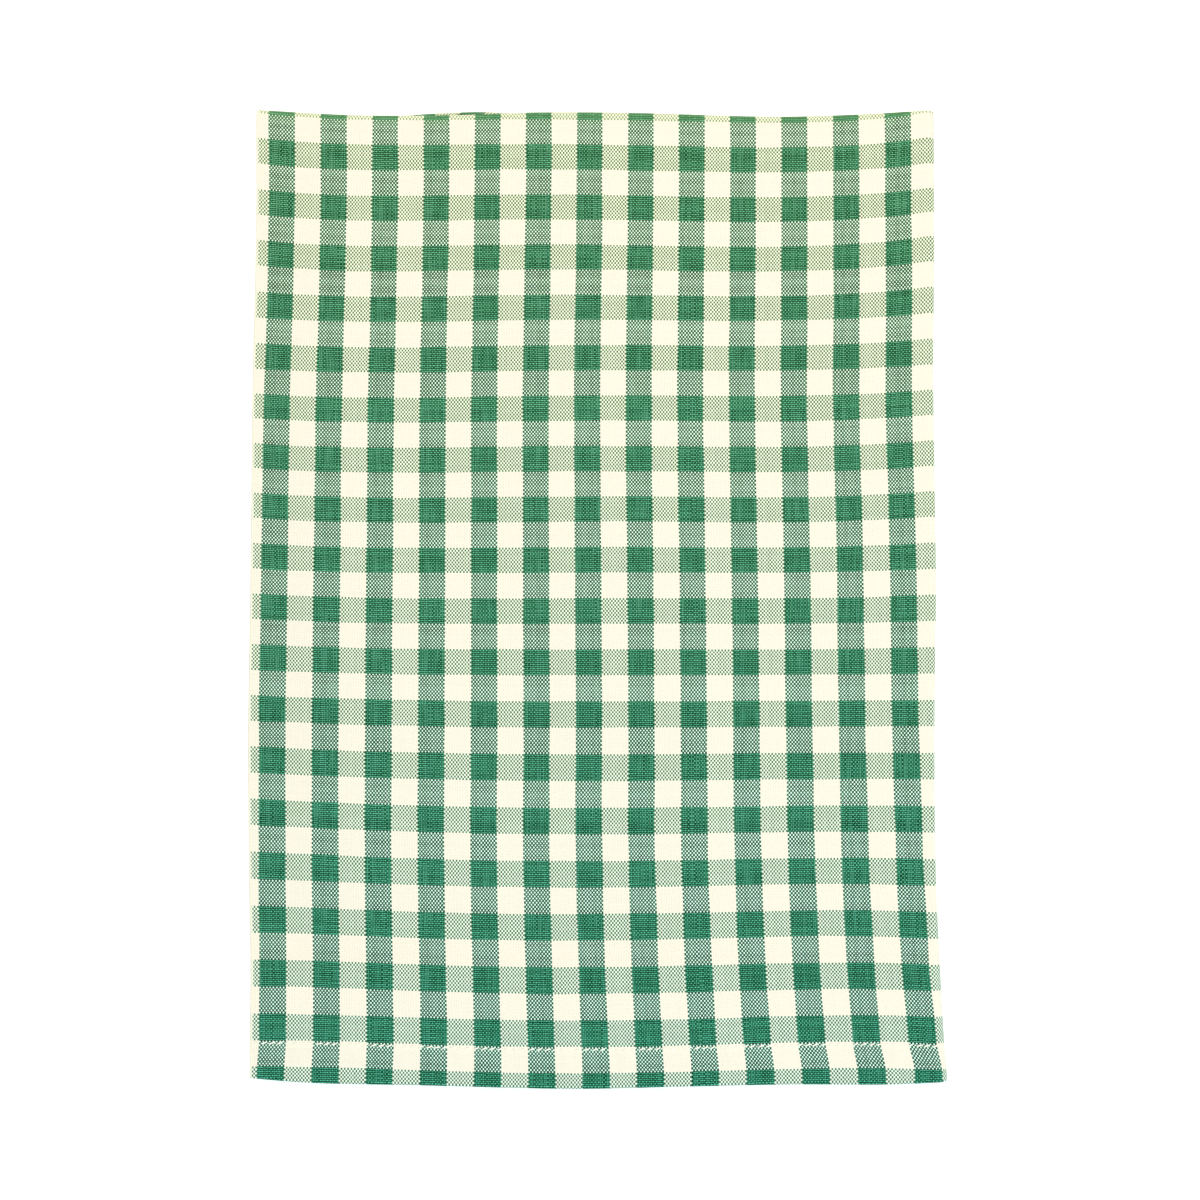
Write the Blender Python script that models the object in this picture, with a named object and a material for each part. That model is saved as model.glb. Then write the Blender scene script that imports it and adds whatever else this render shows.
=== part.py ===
"""Gingham tea towel, folded in quarters and lying flat on its back leaf.

The towel is one cloth of plain-weave cotton, about 500 x 700 mm, with a selvedge down each long side
and a turned hem across each short end. It is folded in half crosswise, which makes a leaf of two
layers, with the fold at the top and the two hems at the bottom. The leaf is then folded in half
lengthwise, which lays a front leaf on a back leaf, with that fold at the right and all four selvedges
at the left. So the cloth is one sheet, and a cut through the leaves goes back and forth.

Frame: metres, +X to the right-hand fold, +Y to the top folds, +Z up. The origin is on the surface that
the towel lies on, under the middle of its outline. The sizes below are in millimetres.
"""

import math

import bpy

MM = 0.001

# The cloth, and how close its layers lie.
CLOTH = 1.0  # thickness, with the nap
GAP = 0.35  # air between two layers
PITCH = CLOTH + GAP  # from the middle of a layer to the middle of the next

# How thick a leaf is, from the middle of its outer layer to the middle of its inner layer.
HEM_DEPTH = 3 * PITCH  # at the hems, where both turned hems lie between the two layers
TOP_DEPTH = 2.6  # at the top fold, which isn't pressed flat
INNER_HALF = PITCH / 2  # from the lengthwise fold's middle plane to the inner layers

# Lengths along the leaf.
HEM = 15.0  # depth of a turned hem
HEM_STEP = 18.0  # the leaf is at its hem thickness up to here, above its bottom edge
HEM_SLOPE = 45.0  # and thins out over this length
TOP_SLOPE = 32.0  # the leaf thickens towards its top fold over this length

# The hidden layers lie a little inside the front one.
INNER_INSET = 1.6  # the inner layer's bottom edge
BACK_INSET_FOOT = 1.2  # the back leaf's bottom edge, at the selvedges
BACK_INSET_SIDE = 1.5  # the back leaf's selvedges
INNER_INSET_SIDE = 0.7  # the inner layer's selvedges, at the hems

# Air under the front leaf's outer layer: two soft waves, which die out towards every edge.
WAVES = (
    # height, cycles per metre across, cycles per metre up, start of the cycle
    (0.45, 8.5, 2.4, 0.10),
    (0.40, -1.7, 6.6, 0.35),
)
WAVE_MARGIN = 30.0

# The outline of the front leaf.
SIDES = (
    # up, left edge, right edge
    (-176.0, -123.4, 124.8),
    (-133.0, -124.0, 123.5),
    (-93.0, -124.4, 121.8),
    (2.0, -124.8, 122.8),
    (87.0, -124.4, 123.4),
    (177.0, -123.8, 124.6),
)
BOTTOM_EDGE = (
    # across, up
    (-123.5, -173.3),
    (-102.0, -175.1),
    (-62.0, -176.6),
    (-7.0, -177.5),
    (33.0, -176.3),
    (73.0, -175.7),
    (108.0, -175.6),
    (124.8, -174.7),
)
TOP_EDGE = (
    # across, up on the front leaf, the back leaf's fold above or below that
    (-123.8, 177.5, -1.5),
    (-92.0, 175.7, -0.6),
    (-66.0, 175.1, 1.2),
    (-43.0, 175.3, 2.1),
    (-20.0, 175.9, 0.2),
    (16.0, 175.4, -1.2),
    (68.0, 173.5, -1.2),
    (98.0, 174.0, -0.8),
    (124.6, 175.0, 0.0),
)

# How finely the sheet is divided.
ACROSS_STEPS = 12  # across one leaf
SIDE_FOLD_STEPS = 8  # round the lengthwise fold
BODY_STEPS = 9  # up the leaf between its two slopes
SLOPE_STEPS = 3
TOP_FOLD_STEPS = 6
HEM_TURN_STEPS = 4

COTTON_GREEN = (0.27, 0.47, 0.31, 1.0)  # green and cream taken together
SMOOTH_BELOW = math.radians(50)


def smoothstep(value):
    """0 below 0, 1 above 1, and a soft S between."""
    value = min(max(value, 0.0), 1.0)
    return value * value * (3.0 - 2.0 * value)


def along(table, column, at):
    """A table's column where its first column reads at, on a smooth curve through the rows."""
    last = len(table) - 1
    at = min(max(at, table[0][0]), table[last][0])
    row = max(k for k in range(last) if table[k][0] <= at)

    def slope(k):
        low, high = max(k - 1, 0), min(k + 1, last)
        return (table[high][column] - table[low][column]) / (table[high][0] - table[low][0])

    width = table[row + 1][0] - table[row][0]
    t = (at - table[row][0]) / width
    start, end = table[row][column], table[row + 1][column]
    return (
        start
        + (end - start) * t * t * (3.0 - 2.0 * t)
        + slope(row) * width * t * (1.0 - t) ** 2
        - slope(row + 1) * width * t * t * (1.0 - t)
    )


def wave_height(across, up, from_bottom, from_top):
    """Height of the soft waves at a place on the leaf, 0 at its edges."""
    side = min(across - SIDES[0][1], SIDES[0][2] - across)
    inside = min(from_bottom - HEM_STEP, from_top, side) / WAVE_MARGIN
    total = sum(
        height * (0.5 + 0.5 * math.sin(2.0 * math.pi * (per_across * across * MM + per_up * up * MM + start)))
        for height, per_across, per_up, start in WAVES
    )
    return total * smoothstep(inside)


def leaf_depth(across, up):
    """From the middle of a leaf's outer layer to the middle of its inner layer, at a place on it."""
    from_bottom = up - along(BOTTOM_EDGE, 1, across)
    from_top = along(TOP_EDGE, 1, across) - up
    hem = 1.0 - smoothstep((from_bottom - HEM_STEP) / HEM_SLOPE)
    top = 1.0 - smoothstep((from_top - TOP_DEPTH) / TOP_SLOPE)
    return (
        PITCH
        + (HEM_DEPTH - PITCH) * hem
        + (TOP_DEPTH - PITCH) * top
        + wave_height(across, up, from_bottom, from_top)
    )


def leaf_path():
    """The cloth's way through a leaf, from the outer hem over the top fold to the inner hem.

    A station is (share, offset, outer, lift). It lies share of the way from the bottom edge to the top
    edge, plus offset. Its layer is the outer one at outer 1 and the inner one at outer 0, raised by lift.
    """
    turn = PITCH / 2
    foot = CLOTH / 2 + turn
    head = CLOTH / 2 + TOP_DEPTH / 2
    low, high = HEM_STEP + HEM_SLOPE, -(head + TOP_SLOPE)
    face = [(0.0, foot), (0.0, (foot + HEM) / 2), (0.0, HEM_STEP)]
    face += [(0.0, HEM_STEP + HEM_SLOPE * k / SLOPE_STEPS) for k in range(1, SLOPE_STEPS + 1)]
    for k in range(1, BODY_STEPS):
        share = k / BODY_STEPS
        face.append((share, low + (high - low) * share))
    face += [(1.0, -(head + TOP_SLOPE * (1.0 - k / SLOPE_STEPS))) for k in range(SLOPE_STEPS + 1)]
    inner_face = [(share, offset + INNER_INSET * (1.0 - share)) for share, offset in reversed(face)]
    hem_turn = [math.pi * k / HEM_TURN_STEPS for k in range(1, HEM_TURN_STEPS)]
    top_turn = [math.pi * k / TOP_FOLD_STEPS for k in range(1, TOP_FOLD_STEPS)]

    path = [(0.0, offset, 1.0, -PITCH) for offset in (HEM, (foot + HEM) / 2, foot)]
    path += [(0.0, foot - turn * math.sin(a), 1.0, -turn - turn * math.cos(a)) for a in hem_turn]
    path += [(share, offset, 1.0, 0.0) for share, offset in face]
    path += [
        (1.0, -head + TOP_DEPTH / 2 * math.sin(a), 0.5 + 0.5 * math.cos(a), 0.0) for a in top_turn
    ]
    path += [(share, offset, 0.0, 0.0) for share, offset in inner_face]
    inner_foot = foot + INNER_INSET
    path += [(0.0, inner_foot - turn * math.sin(a), 0.0, turn - turn * math.cos(a)) for a in hem_turn]
    path += [(0.0, offset + INNER_INSET, 0.0, PITCH) for offset in (foot, (foot + HEM) / 2, HEM)]
    return path


def width_path():
    """The cloth's way across, from the front selvedge round the lengthwise fold to the back selvedge.

    A column is (across, angle): across is 0 at the selvedges and 1 at the fold, and angle is 0 on the
    front leaf and pi on the back leaf.
    """
    path = [(k / ACROSS_STEPS, 0.0) for k in range(ACROSS_STEPS + 1)]
    path += [(1.0, math.pi * k / SIDE_FOLD_STEPS) for k in range(1, SIDE_FOLD_STEPS)]
    path += [(1.0 - k / ACROSS_STEPS, math.pi) for k in range(ACROSS_STEPS + 1)]
    return path


def cloth_point(column, station):
    """Where the middle of the cloth is, in metres, for a column of its width and a station of its length."""
    across, angle = column
    share, offset, outer, lift = station
    back = 0.5 - 0.5 * math.cos(angle)
    over = TOP_EDGE[0][0] + (TOP_EDGE[-1][0] - TOP_EDGE[0][0]) * across
    bottom = along(BOTTOM_EDGE, 1, over) + BACK_INSET_FOOT * back * (1.0 - across)
    top = along(TOP_EDGE, 1, over) + along(TOP_EDGE, 2, over) * back
    up = bottom + (top - bottom) * share + offset
    depth = leaf_depth(over, up)
    height = INNER_HALF + outer * depth + lift
    left = along(SIDES, 1, up) + BACK_INSET_SIDE * back + INNER_INSET_SIDE * (1.0 - outer) * (1.0 - share)
    axis = along(SIDES, 2, up) - CLOTH / 2 - INNER_HALF - depth
    x = left + (axis - left) * across + height * math.sin(angle)
    z = CLOTH / 2 + INNER_HALF + depth + height * math.cos(angle)
    return (x * MM, up * MM, z * MM)


def cotton(name, colour):
    """Plain-weave cotton: matt, with no metal in it."""
    material = bpy.data.materials.new(name)
    material.use_nodes = True
    shader = material.node_tree.nodes["Principled BSDF"]
    shader.inputs["Base Color"].default_value = colour
    shader.inputs["Roughness"].default_value = 0.9
    shader.inputs["Metallic"].default_value = 0.0
    return material


def towel_cloth():
    """The whole towel: one sheet through both folds and all four hem ends, given its thickness."""
    columns, stations = width_path(), leaf_path()
    rows = len(stations)
    points = [cloth_point(column, station) for column in columns for station in stations]
    faces = [
        (i * rows + j, i * rows + j + 1, (i + 1) * rows + j + 1, (i + 1) * rows + j)
        for i in range(len(columns) - 1)
        for j in range(rows - 1)
    ]
    mesh = bpy.data.meshes.new("towel_cloth")
    mesh.from_pydata(points, [], faces)
    mesh.shade_smooth()
    mesh.set_sharp_from_angle(angle=SMOOTH_BELOW)
    towel = bpy.data.objects.new("towel_cloth", mesh)
    bpy.context.scene.collection.objects.link(towel)
    towel.data.materials.append(cotton("gingham_cotton", COTTON_GREEN))
    thickness = towel.modifiers.new("cloth thickness", "SOLIDIFY")
    thickness.thickness = CLOTH * MM
    thickness.offset = 0.0
    thickness.use_even_offset = True
    thickness.use_quality_normals = True
    return towel


for existing in list(bpy.data.objects):
    bpy.data.objects.remove(existing, do_unlink=True)
towel_cloth()
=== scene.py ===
"""Looks of the folded gingham tea towel, in the frame of its CAD model.

The frame is in metres: +X to the lengthwise fold, +Y to the top folds, +Z up from the surface that the
towel lies on. The sizes below are in millimetres and are turned to metres where a mesh is made.
"""

import math

import bpy
import numpy as np
from mathutils import Matrix, Vector


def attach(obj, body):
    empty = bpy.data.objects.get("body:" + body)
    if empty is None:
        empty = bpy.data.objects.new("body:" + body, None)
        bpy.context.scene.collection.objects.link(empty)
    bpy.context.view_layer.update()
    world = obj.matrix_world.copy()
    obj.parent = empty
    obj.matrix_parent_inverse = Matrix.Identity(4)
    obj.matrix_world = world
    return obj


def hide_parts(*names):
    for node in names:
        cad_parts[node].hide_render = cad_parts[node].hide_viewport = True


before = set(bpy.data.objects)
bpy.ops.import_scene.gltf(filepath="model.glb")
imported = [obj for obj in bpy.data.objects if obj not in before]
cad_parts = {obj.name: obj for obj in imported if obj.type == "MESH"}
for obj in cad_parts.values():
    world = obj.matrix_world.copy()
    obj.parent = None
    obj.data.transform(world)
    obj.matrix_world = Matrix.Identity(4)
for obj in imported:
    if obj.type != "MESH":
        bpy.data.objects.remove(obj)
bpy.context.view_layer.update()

# ---- Towel cloth ---------------------------------------------------------------------------------
# One piece of plain-weave cotton with both selvedges woven in and a turned hem across each end. It is
# folded in half crosswise and then lengthwise, so it goes back and forth in four layers, and the
# hems are its own turned ends. Nothing fixes the folds: the towel lies on its back leaf.

MM = 0.001
CLOTH = 0.75  # thickness of the woven cloth
PITCH = 1.35  # from the middle of a layer to the middle of the next, with the air between them

# How thick a leaf is, from the middle of its outer layer to the middle of its inner layer.
HEM_DEPTH = 3 * PITCH  # both turned hems lie between the two layers
TOP_DEPTH = 2.6  # the top fold isn't pressed flat
INNER_HALF = PITCH / 2  # from the lengthwise fold's middle plane to the inner layers

HEM = 15.0  # depth of a turned hem
HEM_STEP = 18.0  # the leaf is at its hem thickness up to here
HEM_SLOPE = 45.0  # and thins out over this length
TOP_SLOPE = 32.0  # the leaf thickens towards its top fold over this length

INNER_INSET = 1.6  # the hidden layers lie a little inside the front one
BACK_INSET_FOOT = 1.2
BACK_INSET_SIDE = 1.5
INNER_INSET_SIDE = 0.7

WAVES = (
    # height, cycles per metre across, cycles per metre up, start of the cycle
    (0.45, 8.5, 2.4, 0.10),
    (0.40, -1.7, 6.6, 0.35),
)
WAVE_MARGIN = 30.0

SIDES = (
    # up, left edge, right edge
    (-176.0, -122.7, 124.8),
    (-160.0, -122.7, 123.7),
    (-145.0, -122.7, 123.0),
    (-128.0, -123.4, 122.6),
    (-112.0, -124.2, 122.1),
    (-93.0, -124.6, 121.8),
    (-50.0, -125.2, 122.1),
    (5.0, -124.9, 123.3),
    (80.0, -124.7, 123.3),
    (120.0, -124.1, 124.2),
    (177.0, -123.8, 124.6),
)
BOTTOM_EDGE = (
    # across, up
    (-123.5, -173.7),
    (-102.0, -175.3),
    (-62.0, -176.1),
    (-7.0, -177.3),
    (33.0, -176.5),
    (73.0, -175.7),
    (108.0, -175.7),
    (124.8, -175.0),
)
TOP_EDGE = (
    # across, up on the front leaf, the back leaf's fold above or below that
    (-123.8, 177.8, -1.8),
    (-92.0, 175.7, -0.6),
    (-66.0, 175.1, 1.5),
    (-43.0, 175.3, 2.1),
    (-20.0, 175.9, 0.2),
    (16.0, 175.4, -1.2),
    (68.0, 173.5, -1.2),
    (98.0, 174.0, -0.8),
    (124.6, 175.3, -0.3),
)

# Where the threads lie on the front leaf. The cloth is a little off the grain, as it was folded by hand.
ENDS_SHIFT = (
    # up, how far the middle end lies to the right, how much more the sides do: spread and bent
    (-177.0, 0.25, 1.05, 0.95),
    (-170.0, 0.20, 0.95, 0.95),
    (-162.0, -0.15, -0.25, 0.65),
    (-157.0, -0.30, -0.51, 0.62),
    (-138.0, -1.12, -1.14, 0.58),
    (-120.0, -1.76, -1.00, 0.53),
    (-101.0, -2.16, -1.21, 0.30),
    (-83.0, -2.38, -1.34, 0.28),
    (-46.0, -2.20, -1.65, -0.50),
    (11.0, -2.42, -1.92, -0.15),
    (66.0, -2.72, -2.55, -0.10),
    (101.0, -2.30, -2.74, 0.20),
    (122.0, -1.91, -2.85, -0.05),
    (159.0, -1.48, -2.95, -0.38),
)
ENDS_CROWDING = 1.2  # the outer ends are pushed outwards by this much,
ENDS_EASE = 0.62  # and those between give way by this share of it
PICKS_ACROSS = (-125.0, -60.0, 0.0, 60.0, 125.0)
PICKS_SHIFT = (
    # up, how far the picks lie above their place at each of the five places across
    (-157.0, 0.75, -0.55, -1.5, -0.25, -0.2),
    (-120.0, 1.65, -0.3, -1.2, -0.15, -0.75),
    (-82.0, 3.45, 0.7, -0.2, 0.25, 0.25),
    (-44.0, 4.05, 1.85, 1.25, 1.25, 1.35),
    (11.0, 4.2, 1.9, 1.8, 1.45, 2.9),
    (50.0, 4.1, 1.75, 1.9, 1.3, 3.4),
    (85.0, 3.9, 1.8, 2.1, 1.65, 3.65),
    (122.0, 5.4, 2.3, 2.25, 1.2, 4.85),
    (159.0, 6.35, 2.85, 2.4, 0.8, 4.0),
)
STITCH_PICK = -162.0  # the hem's stitches follow this pick

# Soft ridges and hollows of the front leaf.
RIDGES = (
    # across, up, lean, half width, half length, height
    (-20.0, 96.0, 0.02, 5.0, 62.0, 0.30),
    (72.0, 128.0, -0.02, 6.0, 44.0, 0.30),
    (-78.0, 20.0, 0.05, 9.0, 70.0, 0.22),
    (30.0, -60.0, -0.06, 8.0, 55.0, 0.25),
    (100.0, -20.0, 0.03, 7.0, 80.0, 0.20),
    (-50.0, -120.0, 0.08, 9.0, 36.0, 0.22),
)
PUCKERS = (
    # length of a pucker along the hem, start of its cycle, height
    (7.3, 0.10, 0.07),
    (9.7, 0.55, 0.07),
    (15.1, 0.30, 0.05),
)
PUCKER_REACH = 11.0  # they die out this far from the stitches
PUCKER_FOOT = 3.0  # and over this length above the hem's fold
PUCKER_LEAN = 0.02
GROOVE = 0.22  # how deep the stitches pull the cloth in
GROOVE_HALF = 0.9

FRONT_STEPS = 198  # across the front leaf, which is seen closest
FOLD_STEPS = 16
BACK_STEPS = 44


def smoothstep(value):
    """0 below 0, 1 above 1, and a soft S between."""
    value = np.clip(value, 0.0, 1.0)
    return value * value * (3.0 - 2.0 * value)


def along(table, column, at):
    """A table's column where its first column reads at, on a smooth curve through the rows."""
    table = np.array(table)
    steps = table[:, 0]
    values = table[:, column]
    last = len(steps) - 1
    at = np.clip(at, steps[0], steps[-1])
    row = np.clip(np.searchsorted(steps, at, side="right") - 1, 0, last - 1)
    low = np.maximum(np.arange(last + 1) - 1, 0)
    high = np.minimum(np.arange(last + 1) + 1, last)
    slope = (values[high] - values[low]) / (steps[high] - steps[low])
    width = steps[row + 1] - steps[row]
    t = (at - steps[row]) / width
    return (
        values[row]
        + (values[row + 1] - values[row]) * t * t * (3.0 - 2.0 * t)
        + slope[row] * width * t * (1.0 - t) ** 2
        - slope[row + 1] * width * t * t * (1.0 - t)
    )


def leaf_depth(over, up):
    """From the middle of a leaf's outer layer to the middle of its inner layer, at a place on it."""
    from_bottom = up - along(BOTTOM_EDGE, 1, over)
    from_top = along(TOP_EDGE, 1, over) - up
    side = np.minimum(over - SIDES[0][1], SIDES[0][2] - over)
    inside = np.minimum(np.minimum(from_bottom - HEM_STEP, from_top), side) / WAVE_MARGIN
    waves = 0.0
    for height, per_across, per_up, start in WAVES:
        cycle = per_across * over * MM + per_up * up * MM + start
        waves = waves + height * (0.5 + 0.5 * np.sin(2.0 * math.pi * cycle))
    hem = 1.0 - smoothstep((from_bottom - HEM_STEP) / HEM_SLOPE)
    top = 1.0 - smoothstep((from_top - TOP_DEPTH) / TOP_SLOPE)
    return PITCH + (HEM_DEPTH - PITCH) * hem + (TOP_DEPTH - PITCH) * top + waves * smoothstep(inside)


def ends_shift(across, up):
    """How far the ends lie to the right of their place in an even cloth."""
    share = across / PICKS_ACROSS[-1]
    sway = along(ENDS_SHIFT, 1, up)
    spread = along(ENDS_SHIFT, 2, up) * share
    bent = along(ENDS_SHIFT, 3, up) * share**2
    return sway + spread + bent + ENDS_CROWDING * (share**3 - ENDS_EASE * share)


def picks_shift(across, up):
    """How far the picks lie above their place in an even cloth."""
    across = np.clip(across, PICKS_ACROSS[0], PICKS_ACROSS[-1])
    total = 0.0
    for column, place in enumerate(PICKS_ACROSS):
        weight = 1.0
        for other in PICKS_ACROSS:
            if other != place:
                weight = weight * (across - other) / (place - other)
        total = total + weight * along(PICKS_SHIFT, column + 1, up)
    return total


def stitch_height(over):
    """How far the stitches are above the hem's fold."""
    line = STITCH_PICK + picks_shift(over, np.full_like(over, STITCH_PICK))
    return line - along(BOTTOM_EDGE, 1, over)


def relief(across, up, from_foot, to_stitches):
    """How far the outer layer of a leaf stands out at a place: its ridges, and what the stitches do."""
    ridges = 0.0
    for place, height_up, lean, half_width, half_length, height in RIDGES:
        side = (across - place - lean * (up - height_up)) / half_width
        length = (up - height_up) / half_length
        ridges = ridges + height * np.exp(-side * side - length * length)
    puckers = 0.0
    for length, start, height in PUCKERS:
        puckers = puckers + height * np.sin(2.0 * math.pi * (across / length + start + PUCKER_LEAN * up))
    near = np.exp(-((to_stitches / PUCKER_REACH) ** 2)) * smoothstep(from_foot / PUCKER_FOOT)
    groove = GROOVE * np.exp(-((to_stitches / GROOVE_HALF) ** 2))
    return ridges, puckers * near - groove


STITCH_NOMINAL = 13.5  # the station at the stitches is this far above the hem's fold before it follows them
FOLLOW_BELOW = 9.0  # stations lower than this follow them less,
FOLLOW_ABOVE = 16.0  # and so do stations higher than this,
FOLLOW_FADE = 5.0  # over this length
CORNER = 30.0  # the lengthwise fold's corner begins this far below the top edge
CORNER_FADE = 20.0


def cloth_point(across, angle, share, offset, outer, lift):
    """The middle of the cloth at a column of its width (across, angle) and a station of its length.

    across is 0 at the selvedges and 1 at the lengthwise fold, and angle is 0 on the front leaf and pi on
    the back leaf. A station lies share of the way from the bottom edge to the top edge, plus offset. Its
    layer is the outer one at outer 1 and the inner one at outer 0, raised by lift.
    """
    back = 0.5 - 0.5 * np.cos(angle)
    over = TOP_EDGE[0][0] + (TOP_EDGE[-1][0] - TOP_EDGE[0][0]) * across
    bottom = along(BOTTOM_EDGE, 1, over) + BACK_INSET_FOOT * back * (1.0 - across)
    top = along(TOP_EDGE, 1, over) + along(TOP_EDGE, 2, over) * back
    stitches = stitch_height(over)
    # The stations near the stitches follow them.
    follow = smoothstep(offset / FOLLOW_BELOW) * (share == 0.0)
    follow = follow * (1.0 - smoothstep((offset - FOLLOW_ABOVE) / FOLLOW_FADE))
    offset = offset + (stitches - STITCH_NOMINAL) * follow
    up = bottom + (top - bottom) * share + offset
    depth = leaf_depth(over, up)
    height = INNER_HALF + outer * depth + lift
    left = along(SIDES, 1, up) + BACK_INSET_SIDE * back + INNER_INSET_SIDE * (1.0 - outer) * (1.0 - share)
    # At the top fold the lengthwise fold's outside stays in line right up to the corner.
    near_top = smoothstep((up - top + CORNER) / CORNER_FADE)
    draws_in = 1.0 - near_top * (1.0 - np.maximum(outer, 0.5))
    axis = along(SIDES, 2, up) - CLOTH / 2 - INNER_HALF - depth * draws_in
    flat_x = left + (axis - left) * across
    ridges, hem_relief = relief(flat_x, up, up - bottom, up - bottom - stitches)
    front = np.clip(np.cos(angle), 0.0, 1.0)
    # The back leaf lies flat, so there only the stitches pull its cloth in.
    hem_relief = np.where(front > 0.0, hem_relief, np.minimum(hem_relief, 0.0))
    height = height + outer * (ridges * front + hem_relief)
    x = flat_x + height * np.sin(angle)
    z = CLOTH / 2 + INNER_HALF + depth + height * np.cos(angle)
    return np.stack(np.broadcast_arrays(x, up, z), axis=-1)


# The cloth's way through a leaf, from the outer hem over the top fold to the inner hem. Its stations are
# given by how far they lie above the hem's fold, and are closest together at the stitches.
turn = PITCH / 2
foot = CLOTH / 2 + turn
head = CLOTH / 2 + TOP_DEPTH / 2
hem_lap = [foot, 3.0, 5.5, 8.0, 10.5, 12.5, 13.5, 14.2, HEM]
hem_face = [foot, 2.4, 3.8, 5.2, 6.6, 8.0, 9.4, 10.7, 11.7, 12.4, 12.8, 13.1, 13.35, 13.5]
hem_face += [13.65, 13.9, 14.2, 14.6, 15.3, 16.4, HEM_STEP]
low = HEM_STEP + HEM_SLOPE
high = -(head + TOP_SLOPE)


def leaf_face(hem_offsets, slope_steps, body_steps, top_steps):
    """Stations up one layer of a leaf: share of the way up, and offset."""
    face = [(0.0, offset) for offset in hem_offsets]
    face += [(0.0, HEM_STEP + HEM_SLOPE * k / slope_steps) for k in range(1, slope_steps + 1)]
    for k in range(1, body_steps):
        share = k / body_steps
        face.append((share, low + (high - low) * share))
    face += [(1.0, -(head + TOP_SLOPE * (1.0 - k / top_steps))) for k in range(top_steps + 1)]
    return face


HEM_TURN = 6
TOP_TURN = 10
hem_turn = [math.pi * k / HEM_TURN for k in range(1, HEM_TURN)]
top_turn = [math.pi * k / TOP_TURN for k in range(1, TOP_TURN)]
outer_face = leaf_face(hem_face, slope_steps=12, body_steps=58, top_steps=9)
inner_face = leaf_face([foot, 6.0, 12.0, HEM_STEP], slope_steps=5, body_steps=20, top_steps=6)
stations = [(0.0, offset, 1.0, -PITCH) for offset in reversed(hem_lap)]
stations += [(0.0, foot - turn * math.sin(a), 1.0, -turn - turn * math.cos(a)) for a in hem_turn]
face_start = len(stations)
stations += [(share, offset, 1.0, 0.0) for share, offset in outer_face]
face_end = len(stations) - 1
stations += [(1.0, -head + TOP_DEPTH / 2 * math.sin(a), 0.5 + 0.5 * math.cos(a), 0.0) for a in top_turn]
inner_start = len(stations)
stations += [
    (share, offset + INNER_INSET * (1.0 - share), 0.0, 0.0) for share, offset in reversed(inner_face)
]
inner_foot = foot + INNER_INSET
inner_end = len(stations) - 1
stations += [(0.0, inner_foot - turn * math.sin(a), 0.0, turn - turn * math.cos(a)) for a in hem_turn]
stations += [(0.0, offset + INNER_INSET, 0.0, PITCH) for offset in (foot, 5.0, 10.0, HEM)]

# The cloth's way across, from the front selvedge round the lengthwise fold to the back selvedge.
EDGE_SHARE = 0.0014  # a first narrow strip, so that the selvedge is rounded over a short way
columns = [(0.0, 0.0), (EDGE_SHARE, 0.0)]
columns += [(k / FRONT_STEPS, 0.0) for k in range(1, FRONT_STEPS + 1)]
front_end = len(columns) - 1
columns += [(1.0, math.pi * k / FOLD_STEPS) for k in range(1, FOLD_STEPS)]
back_start = len(columns)
columns += [(1.0 - k / BACK_STEPS, math.pi) for k in range(BACK_STEPS)]
columns += [(EDGE_SHARE, math.pi), (0.0, math.pi)]

across, angle = np.array(columns).T[:, :, None]
share, offset, outer, lift = np.array(stations).T[:, None, :]
middle = cloth_point(across, angle, share, offset, outer, lift)


def steps_along(points, axis):
    """Distance covered from the first row of points, along one axis of their grid."""
    pace = np.linalg.norm(np.diff(points, axis=axis), axis=-1)
    start = np.zeros_like(np.take(pace, [0], axis=axis))
    return np.concatenate([start, np.cumsum(pace, axis=axis)], axis=axis)


# Each point's place in the weave: ends across (the warp, running up) and picks up (the weft).
round_way = steps_along(middle, 0)
long_way = steps_along(middle, 1)
over = TOP_EDGE[0][0] + (TOP_EDGE[-1][0] - TOP_EDGE[0][0]) * across + 0.0 * share
up = middle[..., 1]
ends = middle[..., 0] - ends_shift(middle[..., 0], up)
past_fold = round_way - round_way[front_end]
back_share = np.clip(past_fold / (round_way[-1] - round_way[front_end]), 0.0, 1.0)
BACK_LEAN = -9.2  # the back leaf's ends lean towards the selvedge by this much at its top,
LEAN_MOST = 0.66  # most at this share of its width,
LEAN_REST = 0.34
LEAN_LOST = 0.9  # and by this much less at the selvedge
LEAN_FROM = 60.0  # they begin to lean here,
LEAN_RISE = 115.0  # and lean fully this much higher
lean = 1.0 - LEAN_LOST * smoothstep((back_share - LEAN_MOST) / LEAN_REST)
lean = smoothstep(back_share / LEAN_MOST) * lean
lean = BACK_LEAN * lean * smoothstep((up - LEAN_FROM) / LEAN_RISE)
ends[front_end:] = (ends[front_end] + past_fold + lean)[front_end:]
picks = up - picks_shift(over, up)
picks[:, :face_start] = picks[:, [face_start]] - (long_way[:, [face_start]] - long_way[:, :face_start])
picks[:, face_end:] = picks[:, [face_end]] + (long_way[:, face_end:] - long_way[:, [face_end]])

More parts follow.
